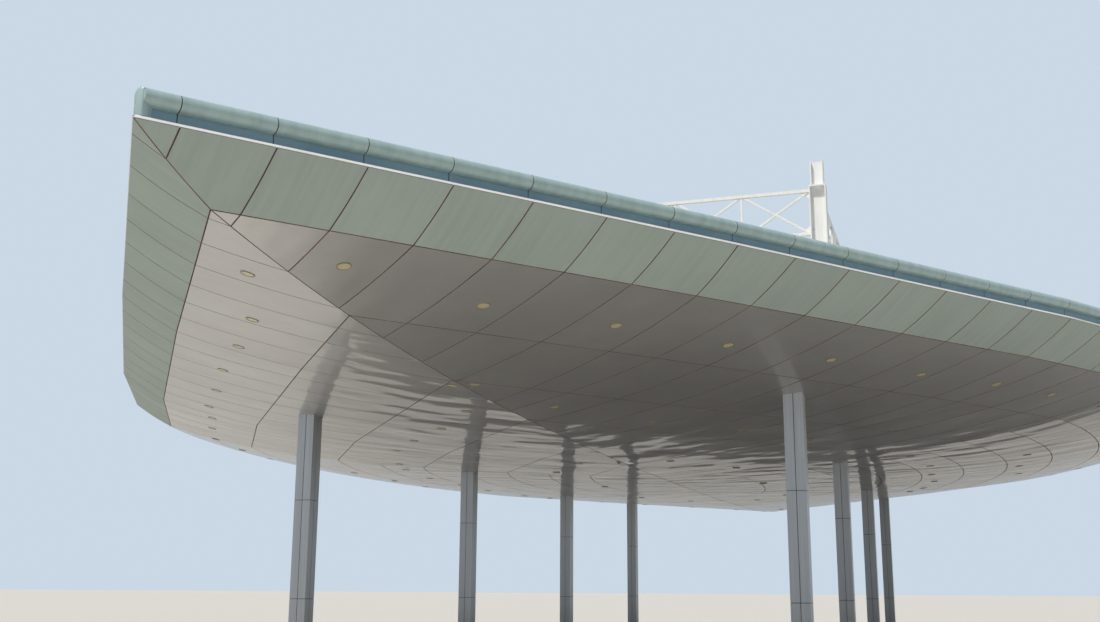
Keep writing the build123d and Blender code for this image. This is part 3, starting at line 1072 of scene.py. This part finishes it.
gussets = empty_piece("truss_gussets", [mast_paint])
for side in (-1, 1):
    for end in (-1, 1):
        for chord, direction in ((top_chord, -1), (bottom_chord, 1)):
            height = chord + direction * half_chord
            rise = upright * direction * gusset_height
            corner = Vector((side * (mast_x - casing_face), end * mast_y, height))
            inwards = Vector((-side * gusset_length, 0, 0))
            add_plate(corner, inwards, rise, Vector((0, gusset_thickness, 0)))
            corner = Vector((side * mast_x, end * (mast_y - web_face), height))
            inwards = Vector((0, -end * (flange_tip + gusset_length), 0))
            add_plate(corner, inwards, rise, Vector((gusset_thickness, 0, 0)))
bpy.ops.mesh.select_all(action="SELECT")
bpy.ops.mesh.normals_make_consistent(inside=False)
bpy.ops.mesh.bevel(offset=gusset_bevel, segments=1)
done()
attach(gussets, "root")
print("faces of the gusset plates:", len(gussets.data.polygons))

# %% [markdown]
# Four anchor bolts hold each base plate down on the deck. A bolt is a hexagon with its edge
# chamfered by a bevel, on a washer, with the end of its thread above.

# %% Steel of the bolts
# zinc plate is bright when new, then dulls and turns brown where rust begins, over about 17 mm
plating = {"Metallic": 0.8, "Roughness": 0.45}
bolt_steel, tree, shader = new_material("zinc_plated_steel_bolts", plating)
where = add_node(tree, "ShaderNodeTexCoord").outputs["Object"]
film = add_node(tree, "ShaderNodeTexNoise", {"Scale": 60.0, "Detail": 3.0}, Vector=where)
plated_greys = [(0.0, "#a7a9a4"), (1.0, "#7d6a58")]
tone = add_node(tree, "ShaderNodeValToRGB", {"stops": plated_greys}, in_0=film.outputs[0])
link(tree, shader, Base_Color=tone.outputs[0])

# %% Anchor bolts, all measures of a bolt in shares of its size
washer = {"sides": 24, "radius": 1.25, "height": 0.25, "foot": 0.0}
nut = {"sides": 6, "radius": 1.0, "height": 0.9, "foot": 0.25}
thread_end = {"sides": 12, "radius": 0.55, "height": 0.5, "foot": 1.15}
chamfer = 0.08
anchor_size = 0.014
base_top = 3.462
base_bolt_place = 0.155


def add_bolt(place, size):
    for part in (washer, nut, thread_end):
        middle = place + upright * size * (part["foot"] + part["height"] / 2)
        round_shape = {"vertices": part["sides"], "radius": size * part["radius"]}
        tall = size * part["height"]
        bpy.ops.mesh.select_all(action="DESELECT")
        bpy.ops.mesh.primitive_cylinder_add(location=middle, depth=tall, **round_shape)
        bpy.ops.mesh.bevel(offset=size * chamfer, segments=1)


bolts = empty_piece("mast_bolts", [bolt_steel])
for side in (-1, 1):
    for end in (-1, 1):
        middle = Vector((side * mast_x, end * mast_y, 0))
        for shift_x in (-base_bolt_place, base_bolt_place):
            for shift_y in (-base_bolt_place, base_bolt_place):
                add_bolt(middle + Vector((shift_x, shift_y, base_top)), anchor_size)
close_up()
only_select(bolts)
bpy.ops.object.shade_smooth_by_angle(angle=math.radians(round_crease))
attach(bolts, "root")
print("bolt faces:", len(bolts.data.polygons))

# %% [markdown]
# The deck is laid with long aluminium trays, joined by standing seams that run across the canopy.
# One seam is a slim bar with its top edges folded round. It is added at its length for each
# place, and its length comes from the outline of the leaf there, so that every seam ends just
# inside the coping.

# %% Deck trays and their seams
# bare aluminium with a pattern rolled in scatters the light, so the deck looks even and soft
tray_metal, tree, shader = new_material("stucco_embossed_aluminium_roof_sheet", {"Metallic": 0.7})
where = add_node(tree, "ShaderNodeTexCoord").outputs["Object"]
# sand that the wind has left on the roof, in drifts of about 1.5 m
drifts = add_node(tree, "ShaderNodeTexNoise", {"Scale": 0.7, "Detail": 6.0}, Vector=where)
roof_greys = [(0.35, "#b9bbb9"), (0.7, "#bdb5a4")]
tone = add_node(tree, "ShaderNodeValToRGB", {"stops": roof_greys}, in_0=drifts.outputs[0])
link(tree, shader, Base_Color=tone.outputs[0])
matt = {"To Min": 0.4, "To Max": 0.7}
gloss = add_node(tree, "ShaderNodeMapRange", matt, Value=drifts.outputs[0])
link(tree, shader, Roughness=gloss.outputs[0])
# embossing, drawn at 12 mm so that it shows
emboss = add_node(tree, "ShaderNodeTexNoise", {"Scale": 80.0, "Detail": 1.0}, Vector=where)
low = {"Strength": 0.25, "Distance": 0.001}
pressed = add_node(tree, "ShaderNodeBump", low, Height=emboss.outputs[0])
link(tree, shader, Normal=pressed.outputs[0])
finish_nodes(tray_metal, "roof_deck")

deck_top = 3.432
seam_pitch = 0.3
seam_width = 0.012
seam_height = 0.024
seam_clearance = 0.05
seam_fold = 0.004
prow_clearance = 0.6


# half the width of the leaf at a place on its long axis, measured inside the given inset
def half_width(y, inset):
    if abs(y) < -corners["belly"].y:
        return belly_centre.x + math.sqrt((belly_radius - inset) ** 2 - y**2)
    widths = []
    for stretch in stretches[:3]:
        start = corners[stretch] + inward(headings[stretch]) * inset
        run = (-abs(y) - start.y) / forward(headings[stretch]).y
        widths.append(start.x + forward(headings[stretch]).x * run)
    return min(widths)


# %% Laying the seams
seams = empty_piece("deck_seams", [tray_metal])
seams_on_half = int((prow_reach - prow_clearance) / seam_pitch)
for number in range(-seams_on_half, seams_on_half + 1):
    y = (number + 0.5) * seam_pitch
    reach = half_width(y, coping_inside + seam_clearance)
    bpy.ops.mesh.select_all(action="DESELECT")
    middle = (0, y, deck_top + seam_height / 2)
    size = (2 * reach, seam_width, seam_height)
    bpy.ops.mesh.primitive_cube_add(size=1, location=middle, scale=size)
    bpy.ops.mesh.bevel(offset=seam_fold, segments=1)
close_up()
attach(seams, "root")
print("seams:", 2 * seams_on_half + 1, "faces:", len(seams.data.polygons))
